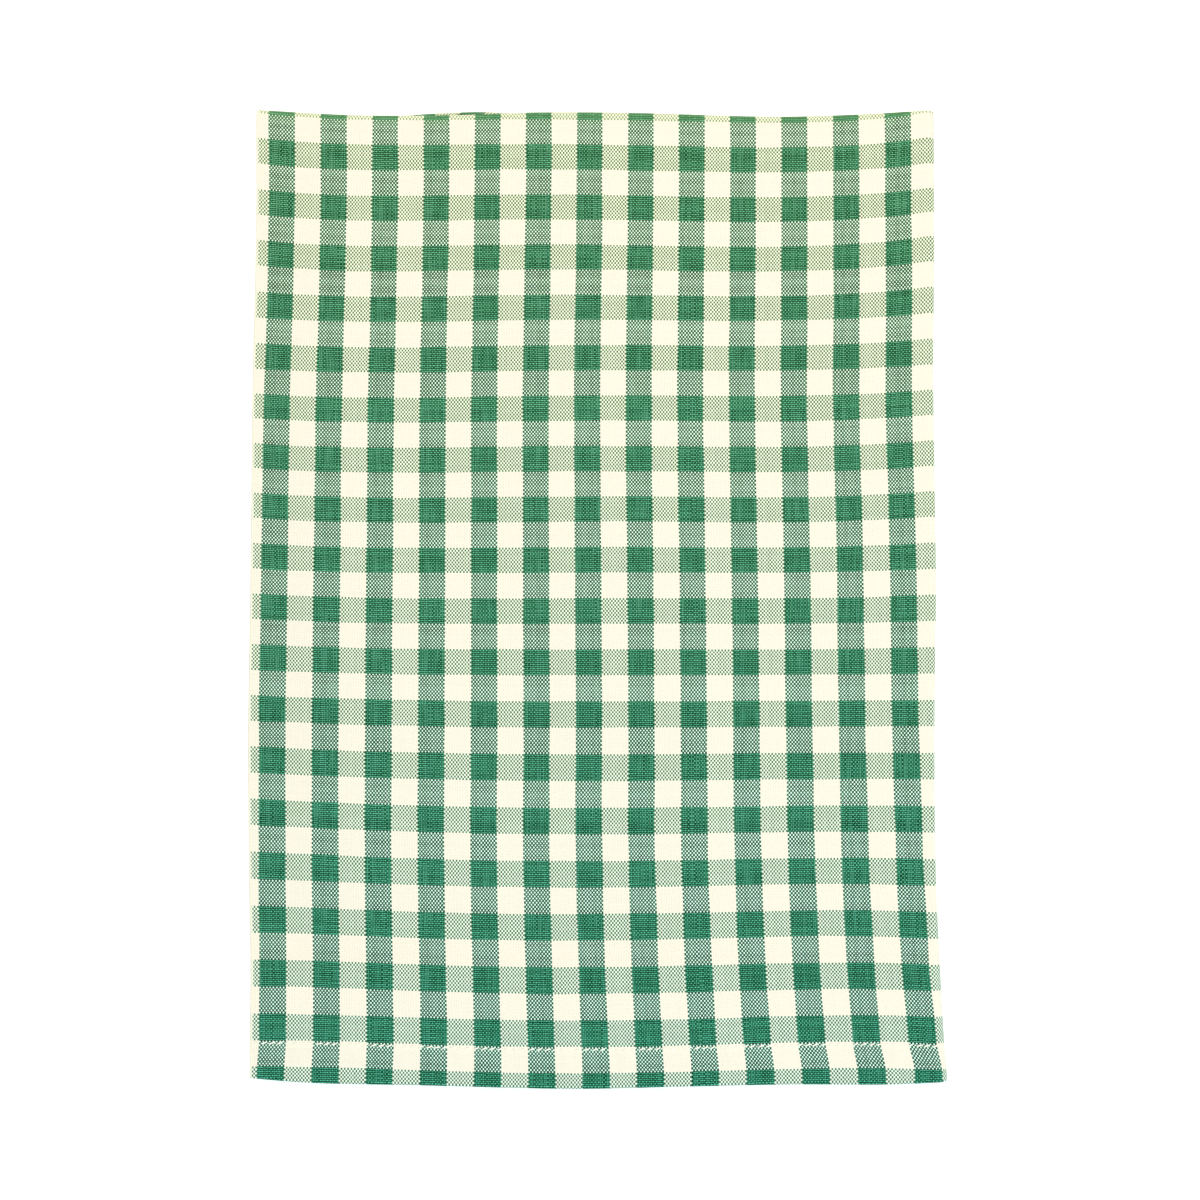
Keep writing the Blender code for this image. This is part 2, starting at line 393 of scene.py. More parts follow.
# Its two sides, and a rounded edge all the way round.
along_width = np.gradient(middle, axis=0)
along_length = np.gradient(middle, axis=1)
facing = np.cross(along_width, along_length)
facing /= np.linalg.norm(facing, axis=-1, keepdims=True)
along_width /= np.linalg.norm(along_width, axis=-1, keepdims=True)
along_length /= np.linalg.norm(along_length, axis=-1, keepdims=True)
right_side = middle + facing * CLOTH / 2
wrong_side = middle - facing * CLOTH / 2
wide, long = middle.shape[:2]
rim = [(c, 0) for c in range(wide)]
rim += [(wide - 1, s) for s in range(1, long)]
rim += [(c, long - 1) for c in range(wide - 2, -1, -1)]
rim += [(0, s) for s in range(long - 2, 0, -1)]
rim_column, rim_station = np.array(rim).T
outward = np.zeros((len(rim), 3))
outward += along_width[rim_column, rim_station] * (rim_column == wide - 1)[:, None]
outward -= along_width[rim_column, rim_station] * (rim_column == 0)[:, None]
outward += along_length[rim_column, rim_station] * (rim_station == long - 1)[:, None]
outward -= along_length[rim_column, rim_station] * (rim_station == 0)[:, None]
outward /= np.linalg.norm(outward, axis=-1, keepdims=True)
EDGE_ROUND = 0.2
edge = middle[rim_column, rim_station] + outward * EDGE_ROUND

grid = np.arange(wide * long).reshape(wide, long)
quads = np.stack([grid[:-1, :-1], grid[1:, :-1], grid[1:, 1:], grid[:-1, 1:]], axis=-1).reshape(-1, 4)
rim_here = rim_column * long + rim_station
rim_next = np.roll(rim_here, -1)
edge_here = 2 * wide * long + np.arange(len(rim))
edge_next = np.roll(edge_here, -1)
rim_upper = np.stack([rim_next, rim_here, edge_here, edge_next], axis=-1)
rim_lower = np.stack([edge_next, edge_here, rim_here + wide * long, rim_next + wide * long], axis=-1)
faces = np.concatenate([quads, quads[:, ::-1] + wide * long, rim_upper, rim_lower])
points = np.concatenate([right_side.reshape(-1, 3), wrong_side.reshape(-1, 3), edge])
cloth_mesh = bpy.data.meshes.new("towel cloth")
cloth_mesh.from_pydata((points * MM).tolist(), [], faces.tolist())
cloth_mesh.shade_smooth()

# A map of thread places in millimetres, which the weave is drawn on, and a map to bake it on.
corner = faces.reshape(-1)
thread_place = np.stack([ends.reshape(-1), picks.reshape(-1)], axis=-1)
thread_place = np.concatenate([thread_place, thread_place, thread_place[rim_here]])
threads_map = cloth_mesh.uv_layers.new(name="Threads")
threads_map.data.foreach_set("uv", thread_place[corner].astype(np.float32).reshape(-1))

width_marks = round_way[[0, front_end, back_start, -1], long // 2]
length_marks = long_way[wide // 3, [0, face_start, face_end, inner_start, inner_end, -1]]
BAKE_WIDTH = (0.0, 0.64, 0.67, 0.985)  # the front leaf has the most of the map
BAKE_LENGTH = (0.0, 0.04, 0.84, 0.86, 0.965, 0.985)
bake_u = np.interp(round_way[:, long // 2], width_marks, BAKE_WIDTH)
bake_v = np.interp(long_way[wide // 3], length_marks, BAKE_LENGTH)
bake_place = np.stack(np.broadcast_arrays(bake_u[:, None], bake_v[None, :]), axis=-1).reshape(-1, 2)
bake_rows = bake_place[quads]
on_side = (rim_column == 0) | (rim_column == wide - 1)
on_side_next = np.roll(on_side, -1) & on_side


def rim_strip(columns_here, level):
    """Places on the baking map for one line along the rim: beside the sides, or above the hem edges."""
    places = bake_place[columns_here]
    level = np.full(len(places), level)
    upright = np.stack([level, places[:, 1]], axis=-1)
    level_with = np.stack([places[:, 0], level], axis=-1)
    return np.where(on_side_next[:, None], upright, level_with)


STRIP = (0.989, 0.993, 0.997)  # the rim's lines, beside the rest of the map
upper_rows = [rim_strip(rim_next, STRIP[0]), rim_strip(rim_here, STRIP[0])]
upper_rows += [rim_strip(rim_here, STRIP[1]), rim_strip(rim_next, STRIP[1])]
lower_rows = [rim_strip(rim_next, STRIP[1]), rim_strip(rim_here, STRIP[1])]
lower_rows += [rim_strip(rim_here, STRIP[2]), rim_strip(rim_next, STRIP[2])]
bake_rows = np.concatenate(
    [bake_rows, bake_rows[:, ::-1], np.stack(upper_rows, axis=1), np.stack(lower_rows, axis=1)]
)
bake_map = cloth_mesh.uv_layers.new(name="OFBake")
bake_map.data.foreach_set("uv", bake_rows.astype(np.float32).reshape(-1))

from_selvedge = np.minimum(round_way, round_way[-1] - round_way)
FOLD_LIGHT_AT = 1.2  # the painted light on the top fold is strongest this far round it
FOLD_LIGHT_HALF = 2.2
on_top_fold = np.exp(-(((long_way - long_way[:, [face_end]] - FOLD_LIGHT_AT) / FOLD_LIGHT_HALF) ** 2))
lowest = BOTTOM_EDGE[3][1]
highest = TOP_EDGE[0][1]
towards_fold = np.clip((up - lowest) / (highest - lowest), 0.0, 1.0)


def mark_points(name, values):
    """Keeps one number for each point of the cloth, for its material to read."""
    flat = values.reshape(-1)
    flat = np.concatenate([flat, flat, flat[rim_here]]).astype(np.float32)
    cloth_mesh.attributes.new(name, "FLOAT", "POINT").data.foreach_set("value", flat)


mark_points("from_selvedge", from_selvedge)
mark_points("on_top_fold", on_top_fold)
mark_points("towards_fold", towards_fold)


def linear(hex_colour):
    """A colour as a shader takes it, linear and with its alpha, from its sRGB hex value."""
    parts = [int(hex_colour[k : k + 2], 16) / 255.0 for k in (1, 3, 5)]
    return tuple(v / 12.92 if v <= 0.04045 else ((v + 0.055) / 1.055) ** 2.4 for v in parts) + (1.0,)


def add(tree, kind, inputs, **settings):
    """Adds a node with its settings. An input is a number or colour, or a node or socket to link."""
    node = tree.nodes.new(kind)
    for name, value in settings.items():
        setattr(node, name, value)
    for name, value in inputs.items():
        if isinstance(value, bpy.types.Node):
            value = value.outputs[0]
        if isinstance(value, bpy.types.NodeSocket):
            tree.links.new(value, node.inputs[name])
        else:
            node.inputs[name].default_value = value
    return node


# Yarn-dyed plain-weave cotton: matt, with every thread round and a little hairy. Green and cream threads
# cross, so a check is solid where like meets like, and is dotted with the other colour elsewhere.
END = 0.6  # from one warp end to the next
PICK = 18.4 / 26  # from one pick of weft to the next
CHECK_ENDS = 16
CHECK_PICKS = 13
FIRST_GREEN_PICK = 4.6

cotton = bpy.data.materials.new("yarn_dyed_plain_weave_cotton")
cotton.use_nodes = True
weave = cotton.node_tree
surface = weave.nodes["Principled BSDF"]
threads = add(weave, "ShaderNodeUVMap", {}, uv_map="Threads")
place = add(weave, "ShaderNodeSeparateXYZ", {0: threads})

# Neither ends nor picks are quite straight or even: they wander by a tenth of a millimetre.
WANDER = 0.55
ENDS_WANDER = (1 / 8.0, 1 / 26.0, 0.0)  # how fast, per millimetre across and up
PICKS_WANDER = (1 / 24.0, 1 / 7.0, 0.0)
ends_place = add(weave, "ShaderNodeVectorMath", {0: threads, 1: ENDS_WANDER}, operation="MULTIPLY")
ends_wander = add(
    weave,
    "ShaderNodeTexNoise",
    {"Vector": ends_place, "Scale": 1.0, "Detail": 2.0, "Roughness": 0.62},
    noise_dimensions="2D",
)
picks_place = add(weave, "ShaderNodeVectorMath", {0: threads, 1: PICKS_WANDER}, operation="MULTIPLY")
picks_wander = add(
    weave,
    "ShaderNodeTexNoise",
    {"Vector": picks_place, "Scale": 1.0, "Detail": 2.0, "Roughness": 0.62},
    noise_dimensions="2D",
)
end_at = add(
    weave, "ShaderNodeMath", {0: ends_wander, 1: WANDER, 2: place.outputs["X"]}, operation="MULTIPLY_ADD"
)
pick_at = add(
    weave, "ShaderNodeMath", {0: picks_wander, 1: WANDER, 2: place.outputs["Y"]}, operation="MULTIPLY_ADD"
)
end_count = add(
    weave, "ShaderNodeMath", {0: end_at, 1: 1 / END, 2: -WANDER / 2 / END}, operation="MULTIPLY_ADD"
)
pick_count = add(
    weave,
    "ShaderNodeMath",
    {0: pick_at, 1: 1 / PICK, 2: -(FIRST_GREEN_PICK + WANDER / 2) / PICK},
    operation="MULTIPLY_ADD",
)
end = add(weave, "ShaderNodeMath", {0: end_count}, operation="FLOOR")
pick = add(weave, "ShaderNodeMath", {0: pick_count}, operation="FLOOR")
across_end = add(weave, "ShaderNodeMath", {0: end_count}, operation="FRACT")
across_end = add(weave, "ShaderNodeMath", {0: across_end, 1: 0.5}, operation="SUBTRACT")
across_end = add(weave, "ShaderNodeMath", {0: across_end}, operation="ABSOLUTE")
across_pick = add(weave, "ShaderNodeMath", {0: pick_count}, operation="FRACT")
across_pick = add(weave, "ShaderNodeMath", {0: across_pick, 1: 0.5}, operation="SUBTRACT")
across_pick = add(weave, "ShaderNodeMath", {0: across_pick}, operation="ABSOLUTE")

# In plain weave the pick is on top at every other crossing, and the next row is shifted by one.
crossing = add(weave, "ShaderNodeMath", {0: end, 1: pick}, operation="ADD")
pick_on_top = add(weave, "ShaderNodeMath", {0: crossing, 1: 1.0}, operation="PINGPONG")

# Each end and pick has its own thickness and depth of dye, and slubs along its length.
PICK_SEED = 1000.5  # so that the picks don't repeat the ends' tones
END_SLUBS = (1 / 0.9, 1 / 11.0, 0.0)  # how close together, per millimetre across and up
PICK_SLUBS = (1 / 8.0, 1 / 0.8, 0.0)
end_tone = add(weave, "ShaderNodeTexWhiteNoise", {"W": end}, noise_dimensions="1D")
shifted_pick = add(weave, "ShaderNodeMath", {0: pick, 1: PICK_SEED}, operation="ADD")
pick_tone = add(weave, "ShaderNodeTexWhiteNoise", {"W": shifted_pick}, noise_dimensions="1D")
end_slubs_place = add(weave, "ShaderNodeVectorMath", {0: threads, 1: END_SLUBS}, operation="MULTIPLY")
end_slubs = add(
    weave,
    "ShaderNodeTexNoise",
    {"Vector": end_slubs_place, "Scale": 1.0, "Detail": 1.0},
    noise_dimensions="2D",
)
pick_slubs_place = add(weave, "ShaderNodeVectorMath", {0: threads, 1: PICK_SLUBS}, operation="MULTIPLY")
pick_slubs = add(
    weave,
    "ShaderNodeTexNoise",
    {"Vector": pick_slubs_place, "Scale": 1.0, "Detail": 1.0},
    noise_dimensions="2D",
)

# A pick shows as a rounded spot between two ends. The ends are thicker, so they cover more than half.
SPOT_WIDTH = 0.48  # half of it, as a share of the ends' spacing
SPOT_HEIGHT = 0.50  # half of it, as a share of the picks' spacing
SPOT_SQUARE = 2.6  # 2 is an ellipse, and more is squarer
THICK_AND_THIN = 0.16  # a thick pick or a thin end makes the spot larger by this share
uneven = add(weave, "ShaderNodeMath", {0: pick_tone, 1: end_tone}, operation="SUBTRACT")
spot_size = add(weave, "ShaderNodeMath", {0: uneven, 1: THICK_AND_THIN, 2: 1.0}, operation="MULTIPLY_ADD")
spot_width = add(weave, "ShaderNodeMath", {0: spot_size, 1: SPOT_WIDTH}, operation="MULTIPLY")
spot_height = add(weave, "ShaderNodeMath", {0: spot_size, 1: SPOT_HEIGHT}, operation="MULTIPLY")
side_share = add(weave, "ShaderNodeMath", {0: across_end, 1: spot_width}, operation="DIVIDE")
side_share = add(weave, "ShaderNodeMath", {0: side_share, 1: SPOT_SQUARE}, operation="POWER")
height_share = add(weave, "ShaderNodeMath", {0: across_pick, 1: spot_height}, operation="DIVIDE")
height_share = add(weave, "ShaderNodeMath", {0: height_share, 1: SPOT_SQUARE}, operation="POWER")
from_spot = add(weave, "ShaderNodeMath", {0: side_share, 1: height_share}, operation="ADD")

# At the selvedge the ends are packed close and hide the picks, and the top fold pushes them together.
SELVEDGE = 1.4
SELVEDGE_COVER = 1.6  # at 1 or more the spots are gone
FOLD_COVER = 0.28
selvedge_mark = add(weave, "ShaderNodeAttribute", {}, attribute_name="from_selvedge")
selvedge_cover = add(
    weave,
    "ShaderNodeMapRange",
    {"Value": selvedge_mark.outputs["Fac"], "From Max": SELVEDGE, "To Min": SELVEDGE_COVER, "To Max": 0.0},
    interpolation_type="SMOOTHSTEP",
)
fold_mark = add(weave, "ShaderNodeAttribute", {}, attribute_name="on_top_fold")
from_spot = add(weave, "ShaderNodeMath", {0: from_spot, 1: selvedge_cover}, operation="ADD")
from_spot = add(
    weave,
    "ShaderNodeMath",
    {0: fold_mark.outputs["Fac"], 1: FOLD_COVER, 2: from_spot},
    operation="MULTIPLY_ADD",
)
SPOT_EDGE = 0.35  # how soft a spot's edge is
beyond_spot = add(
    weave,
    "ShaderNodeMapRange",
    {"Value": from_spot, "From Min": 1 - SPOT_EDGE / 2, "From Max": 1 + SPOT_EDGE / 2},
)
end_on_top = add(weave, "ShaderNodeMath", {0: 1.0, 1: pick_on_top}, operation="SUBTRACT")
warp_shows = add(weave, "ShaderNodeMath", {0: beyond_spot, 1: end_on_top}, operation="MAXIMUM")

# How high the thread that shows stands: its crown catches the light and its sides sink into the cloth.
DIP = 1.35  # how deep an end dives under a pick, against its rise over one
END_ARCH = 0.62  # how much of an end's height its rise and dive make,
END_MIDDLE = 0.30  # its height between them,
END_ROUND = 0.21  # and how much its own roundness adds
SPOT_FALL = 0.95  # how fast a pick falls away from the middle of its spot
SPOT_CROWN = 1.10
crown_turn = add(weave, "ShaderNodeMath", {0: across_pick, 1: math.pi}, operation="MULTIPLY")
crown = add(weave, "ShaderNodeMath", {0: crown_turn}, operation="COSINE")
over_or_under = add(weave, "ShaderNodeMath", {0: pick_on_top, 1: -DIP, 2: 1.0}, operation="MULTIPLY_ADD")
end_arch = add(weave, "ShaderNodeMath", {0: crown, 1: over_or_under}, operation="MULTIPLY")
roundness = add(weave, "ShaderNodeMath", {0: across_end, 1: across_end}, operation="MULTIPLY")
roundness = add(weave, "ShaderNodeMath", {0: roundness, 1: -4.0, 2: 1.0}, operation="MULTIPLY_ADD")
roundness = add(weave, "ShaderNodeMath", {0: roundness, 1: end_on_top}, operation="MULTIPLY")
roundness = add(weave, "ShaderNodeMath", {0: roundness, 1: crown}, operation="MULTIPLY")
end_height = add(
    weave, "ShaderNodeMath", {0: end_arch, 1: END_ARCH, 2: END_MIDDLE}, operation="MULTIPLY_ADD"
)
end_height = add(
    weave, "ShaderNodeMath", {0: roundness, 1: END_ROUND, 2: end_height}, operation="MULTIPLY_ADD"
)
pick_height = add(
    weave, "ShaderNodeMath", {0: from_spot, 1: -SPOT_FALL, 2: SPOT_CROWN}, operation="MULTIPLY_ADD"
)
thread_height = add(
    weave, "ShaderNodeMix", {0: warp_shows, 2: pick_height, 3: end_height}, data_type="FLOAT"
)
thread_height = add(weave, "ShaderNodeClamp", {0: thread_height})

# How light a thread is drawn: dyed by its own tone and its slubs, with painted shade in its hollows and a
# painted highlight on its crown by how high it stands.
END_TONE = 0.20
PICK_TONE = 0.16
SLUB_TONE = 0.45
# Painted shade and highlight: a thread is drawn lighter where it stands higher, and the prouder picks
# lighter than the ends.
HEIGHT_PAINTED_SHADE = 1.3
PICK_PAINTED_LIGHT = 0.40  # the picks stand a little prouder than the ends, so they are lighter
ALL_LIFT = -0.05
end_shade = add(
    weave, "ShaderNodeMath", {0: end_tone, 1: END_TONE, 2: -END_TONE / 2}, operation="MULTIPLY_ADD"
)
end_shade = add(
    weave, "ShaderNodeMath", {0: end_slubs, 1: SLUB_TONE, 2: end_shade}, operation="MULTIPLY_ADD"
)
pick_shade = add(
    weave, "ShaderNodeMath", {0: pick_tone, 1: PICK_TONE, 2: -PICK_TONE / 2}, operation="MULTIPLY_ADD"
)
pick_shade = add(
    weave, "ShaderNodeMath", {0: pick_slubs, 1: SLUB_TONE, 2: pick_shade}, operation="MULTIPLY_ADD"
)
end_shade = add(weave, "ShaderNodeMath", {0: end_shade, 1: SLUB_TONE / 2}, operation="SUBTRACT")
pick_shade = add(weave, "ShaderNodeMath", {0: pick_shade, 1: SLUB_TONE / 2}, operation="SUBTRACT")
shade = add(weave, "ShaderNodeMix", {0: warp_shows, 2: pick_shade, 3: end_shade}, data_type="FLOAT")
painted_lift_here = add(
    weave, "ShaderNodeMath", {0: warp_shows, 1: -PICK_PAINTED_LIGHT, 2: ALL_LIFT}, operation="MULTIPLY_ADD"
)
lightness = add(
    weave, "ShaderNodeMath", {0: thread_height, 1: HEIGHT_PAINTED_SHADE, 2: shade}, operation="MULTIPLY_ADD"
)
lightness = add(weave, "ShaderNodeMath", {0: lightness, 1: painted_lift_here}, operation="ADD")

# Vat-dyed green, with painted shade making it nearly black-green between the threads and a painted
# highlight making it soft sea green on their crowns.
green_yarn = add(weave, "ShaderNodeValToRGB", {0: lightness})
green_yarn.color_ramp.elements[0].color = linear("#001206")
green_yarn.color_ramp.elements[1].color = linear("#8fc0a7")
green_yarn.color_ramp.elements.new(0.6).color = linear("#00461c")
green_yarn.color_ramp.elements.new(0.8).color = linear("#448b68")
# The green's red is cut by the dye's own colour, and the cut changes from the hems to the top fold as
# painted light: warmer and lighter towards the top fold, cooler at the hems. These numbers, and the like
# below, multiply a thread's red, green and blue, so they aren't colours and may pass 1.
share_to_top_fold = add(weave, "ShaderNodeAttribute", {}, attribute_name="towards_fold")
green_dye_and_painted_light = add(
    weave,
    "ShaderNodeMix",
    {0: share_to_top_fold.outputs["Fac"], 6: (0.36, 0.90, 0.89, 1.0), 7: (0.73, 1.01, 0.80, 1.0)},
    data_type="RGBA",
)
green_yarn = add(
    weave,
    "ShaderNodeMix",
    {0: 1.0, 6: green_yarn, 7: green_dye_and_painted_light.outputs[2]},
    data_type="RGBA",
    blend_type="MULTIPLY",
).outputs[2]
# Unbleached cream, which hardly darkens between the threads because the cotton lets light through.
cream_yarn = add(weave, "ShaderNodeValToRGB", {0: lightness})
cream_yarn.color_ramp.elements[0].color = linear("#ede7d7")
cream_yarn.color_ramp.elements[1].color = linear("#f2ede0")

# Sixteen green ends and sixteen cream, and thirteen green picks and thirteen cream, all over the cloth.
end_in_repeat = add(weave, "ShaderNodeMath", {0: end, 1: CHECK_ENDS / 2}, operation="ADD")
end_in_repeat = add(
    weave, "ShaderNodeMath", {0: end_in_repeat, 1: CHECK_ENDS * 2.0}, operation="FLOORED_MODULO"
)
green_end = add(weave, "ShaderNodeMath", {0: end_in_repeat, 1: CHECK_ENDS - 0.5}, operation="LESS_THAN")
pick_in_repeat = add(weave, "ShaderNodeMath", {0: pick, 1: CHECK_PICKS * 2.0}, operation="FLOORED_MODULO")
green_pick = add(weave, "ShaderNodeMath", {0: pick_in_repeat, 1: CHECK_PICKS - 0.5}, operation="LESS_THAN")
green_shows = add(
    weave, "ShaderNodeMix", {0: warp_shows, 2: green_pick, 3: green_end}, data_type="FLOAT"
)
# Cream threads among green ones take on a little of their colour, from the light between the threads.
among_other = add(weave, "ShaderNodeMath", {0: green_end, 1: green_pick}, operation="SUBTRACT")
among_other = add(weave, "ShaderNodeMath", {0: among_other}, operation="ABSOLUTE")
bounce = add(
    weave,
    "ShaderNodeMix",
    {0: warp_shows, 6: (0.80, 1.14, 1.04, 1.0), 7: (0.98, 1.13, 1.02, 1.0)},
    data_type="RGBA",
)
# Painted light: the tint is drawn warmer towards the top fold and cooler at the hems.
bounce_painted_light_drift = add(
    weave,
    "ShaderNodeMix",
    {0: share_to_top_fold.outputs["Fac"], 6: (0.89, 0.96, 1.06, 1.0), 7: (1.07, 1.04, 0.98, 1.0)},
    data_type="RGBA",
)
bounce = add(
    weave,
    "ShaderNodeMix",
    {0: 1.0, 6: bounce.outputs[2], 7: bounce_painted_light_drift.outputs[2]},
    data_type="RGBA",
    blend_type="MULTIPLY",
)
BOUNCE_HOLLOW = 0.68  # the hollows keep this share of their light,
BOUNCE_CROWN = 0.40  # and the crowns this much more
SELVEDGE_CLEAR = 0.5  # along the selvedge the close ends take on less of the green picks' colour
rounded = add(
    weave, "ShaderNodeMath", {0: thread_height, 1: BOUNCE_CROWN, 2: BOUNCE_HOLLOW}, operation="MULTIPLY_ADD"
)
bounce = add(weave, "ShaderNodeVectorMath", {0: bounce.outputs[2], "Scale": rounded}, operation="SCALE")
tint_share = add(
    weave, "ShaderNodeMath", {0: selvedge_cover, 1: -SELVEDGE_CLEAR, 2: 1.0}, operation="MULTIPLY_ADD"
)
tint_share = add(
    weave, "ShaderNodeMath", {0: tint_share, 1: among_other}, operation="MULTIPLY", use_clamp=True
)
tinted_cream = add(
    weave,
    "ShaderNodeMix",
    {0: tint_share, 6: cream_yarn, 7: bounce},
    data_type="RGBA",
    blend_type="MULTIPLY",
)
# Green threads among cream ones lie in their shade, and are darker and duller.
in_shade = add(
    weave,
    "ShaderNodeMix",
    {0: warp_shows, 6: (0.62, 0.38, 0.27, 1.0), 7: (0.55, 0.46, 0.39, 1.0)},
    data_type="RGBA",
)
shaded_green = add(
    weave,
    "ShaderNodeMix",
    {0: among_other, 6: green_yarn, 7: in_shade.outputs[2]},
    data_type="RGBA",
    blend_type="MULTIPLY",
)
# Painted light: the top fold is drawn paler along its edge, and green picks among cream ends there nearly
# lose their colour.
FOLD_PAINTED_LIGHT = 0.35
LONE_PICK_PAINTED_LIGHT = 0.12  # and how much more painted light they get
lone_pick = add(
    weave, "ShaderNodeMath", {0: among_other, 1: warp_shows}, operation="SUBTRACT", use_clamp=True
)
fold_painted_light = add(
    weave, "ShaderNodeMath", {0: lone_pick, 1: LONE_PICK_PAINTED_LIGHT, 2: FOLD_PAINTED_LIGHT}, operation="MULTIPLY_ADD"
)
fold_painted_light = add(weave, "ShaderNodeMath", {0: fold_painted_light, 1: fold_mark.outputs["Fac"]}, operation="MULTIPLY")
painted_light_green = add(
    weave, "ShaderNodeMix", {0: lone_pick, 6: linear("#86c085"), 7: linear("#d9deac")}, data_type="RGBA"
)
fold_green = add(
    weave,
    "ShaderNodeMix",
    {0: fold_painted_light, 6: shaded_green.outputs[2], 7: painted_light_green.outputs[2]},
    data_type="RGBA",
)
yarn = add(
    weave,
    "ShaderNodeMix",
    {0: green_shows, 6: tinted_cream.outputs[2], 7: fold_green.outputs[2]},
    data_type="RGBA",
)
weave.links.new(yarn.outputs[2], surface.inputs["Base Color"])
surface.inputs["Roughness"].default_value = 0.5
surface.inputs["IOR"].default_value = 1.5
surface.inputs["Specular IOR Level"].default_value = 0.03
surface.inputs["Sheen Weight"].default_value = 0.005
surface.inputs["Sheen Roughness"].default_value = 0.5
THREAD_RISE = 0.10  # from the gap between threads to the crown of one
thread_bump = add(
    weave, "ShaderNodeBump", {"Height": thread_height, "Distance": THREAD_RISE * MM, "Strength": 1.0}
)
weave.links.new(thread_bump.outputs[0], surface.inputs["Normal"])

towel = bpy.data.objects.new("folded_towel_cloth", cloth_mesh)
bpy.context.scene.collection.objects.link(towel)
cloth_mesh.materials.append(cotton)
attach(towel, "root")
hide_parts("towel_cloth")

# ---- Hem stitching -------------------------------------------------------------------------------
# One row of lockstitch in cream cotton thread along each hem, sewn by machine through the turned end.
# Each stitch shows as a short slanting dash that sinks into the cloth where it goes through.

STITCH = 2.8  # from one needle hole to the next
STITCH_START = 0.8  # the first one's middle, in stitches from the selvedge
STITCH_SHOWS = 2.3
SLANT = 22.0  # degrees, rising away from the selvedge
UNEVEN_PLACE = 0.04  # a usual error of a stitch's place, in stitches,
UNEVEN_LENGTH = 0.06  # of its length, as a share of it,
UNEVEN_SLANT = 4.0  # and of its slant, in degrees
THREAD = 0.57  # thickness of the sewing thread
THREAD_TIP = 0.55  # share of its thickness where it sinks into the cloth
THREAD_FLAT = 0.8  # how flat it is pressed
THREAD_SITS = 0.04  # how far the middle of the thread stands off the cloth,
THREAD_ARCH = 0.18  # and how much more halfway between its holes
ARCH_SHARE = 0.96  # the arch ends just short of level, so that a stitch's tips stay in sight
RINGS = 7
SIDES_OF_THREAD = 6
ROW_SAMPLES = 1600
ROUND_FOLD = (0.0, 0.49, 0.51, 1.0)  # the lengthwise fold lies between the middle two of these shares

stitch_random = np.random.default_rng(7)


def sew(outer_layer, first_index):
    """Points and faces of the stitches along one hem, from selvedge to selvedge."""
    way = np.linspace(0.0, 1.0, ROW_SAMPLES)
    spread = np.interp(way, ROUND_FOLD, (0.0, 1.0, 1.0, 0.0))
    swing = np.interp(way, ROUND_FOLD, (0.0, 0.0, math.pi, math.pi))
    zero = np.zeros(ROW_SAMPLES)
    above_fold = zero + STITCH_NOMINAL + (0.0 if outer_layer else INNER_INSET)
    line = cloth_point(spread, swing, zero, above_fold, zero + outer_layer, zero)
    out = np.stack([np.sin(swing), zero, np.cos(swing)], axis=-1) * (1.0 if outer_layer else -1.0)
    gone = steps_along(line, 0)
    found_points = []
    found_faces = []
    for number in range(int(gone[-1] / STITCH) - 1):
        centre = STITCH * (number + STITCH_START + UNEVEN_PLACE * stitch_random.normal())
        length = STITCH_SHOWS * (1.0 + UNEVEN_LENGTH * stitch_random.normal())
        slant = math.radians(SLANT + UNEVEN_SLANT * stitch_random.normal())
        t = np.linspace(-0.5, 0.5, RINGS)
        at = centre + t * length * math.cos(slant)
        on_line = np.stack([np.interp(at, gone, line[:, k]) for k in range(3)], axis=-1)
        outwards = np.stack([np.interp(at, gone, out[:, k]) for k in range(3)], axis=-1)
        outwards /= np.linalg.norm(outwards, axis=-1, keepdims=True)
        rise = np.cos(math.pi * t * ARCH_SHARE)
        spine = on_line + outwards * (CLOTH / 2 + THREAD_SITS + THREAD_ARCH * rise[:, None])
        spine[:, 1] += t * length * math.sin(slant)
        forward = np.gradient(spine, axis=0)
        forward /= np.linalg.norm(forward, axis=-1, keepdims=True)
        sideways = np.cross(outwards, forward)
        full = np.sqrt(np.clip(1.0 - (2.0 * t) ** 2, 0.0, 1.0))
        thick = THREAD / 2 * (THREAD_TIP + (1.0 - THREAD_TIP) * full)
        for ring in range(RINGS):
            for side in range(SIDES_OF_THREAD):
                turn_round = 2.0 * math.pi * side / SIDES_OF_THREAD
                reach = sideways[ring] * math.cos(turn_round)
                reach = reach + outwards[ring] * math.sin(turn_round) * THREAD_FLAT
                found_points.append(spine[ring] + reach * thick[ring])
        start = first_index + number * RINGS * SIDES_OF_THREAD
        for ring in range(RINGS - 1):
            for side in range(SIDES_OF_THREAD):
                a = start + ring * SIDES_OF_THREAD + side
                b = start + ring * SIDES_OF_THREAD + (side + 1) % SIDES_OF_THREAD
                found_faces.append((a, b, b + SIDES_OF_THREAD, a + SIDES_OF_THREAD))
        last = start + (RINGS - 1) * SIDES_OF_THREAD
        found_faces.append(tuple(range(start + SIDES_OF_THREAD - 1, start - 1, -1)))
        found_faces.append(tuple(range(last, last + SIDES_OF_THREAD)))
    return found_points, found_faces


outer_points, outer_faces = sew(1.0, 0)
inner_points, inner_faces = sew(0.0, len(outer_points))
stitch_points = np.array(outer_points + inner_points)
# Under the back leaf they are pressed flat against the surface.
PRESSED_TO = 0.01
stitch_points[:, 2] = np.maximum(stitch_points[:, 2], PRESSED_TO)
stitch_mesh = bpy.data.meshes.new("hem stitching")
stitch_mesh.from_pydata((stitch_points * MM).tolist(), [], outer_faces + inner_faces)
stitch_mesh.shade_smooth()

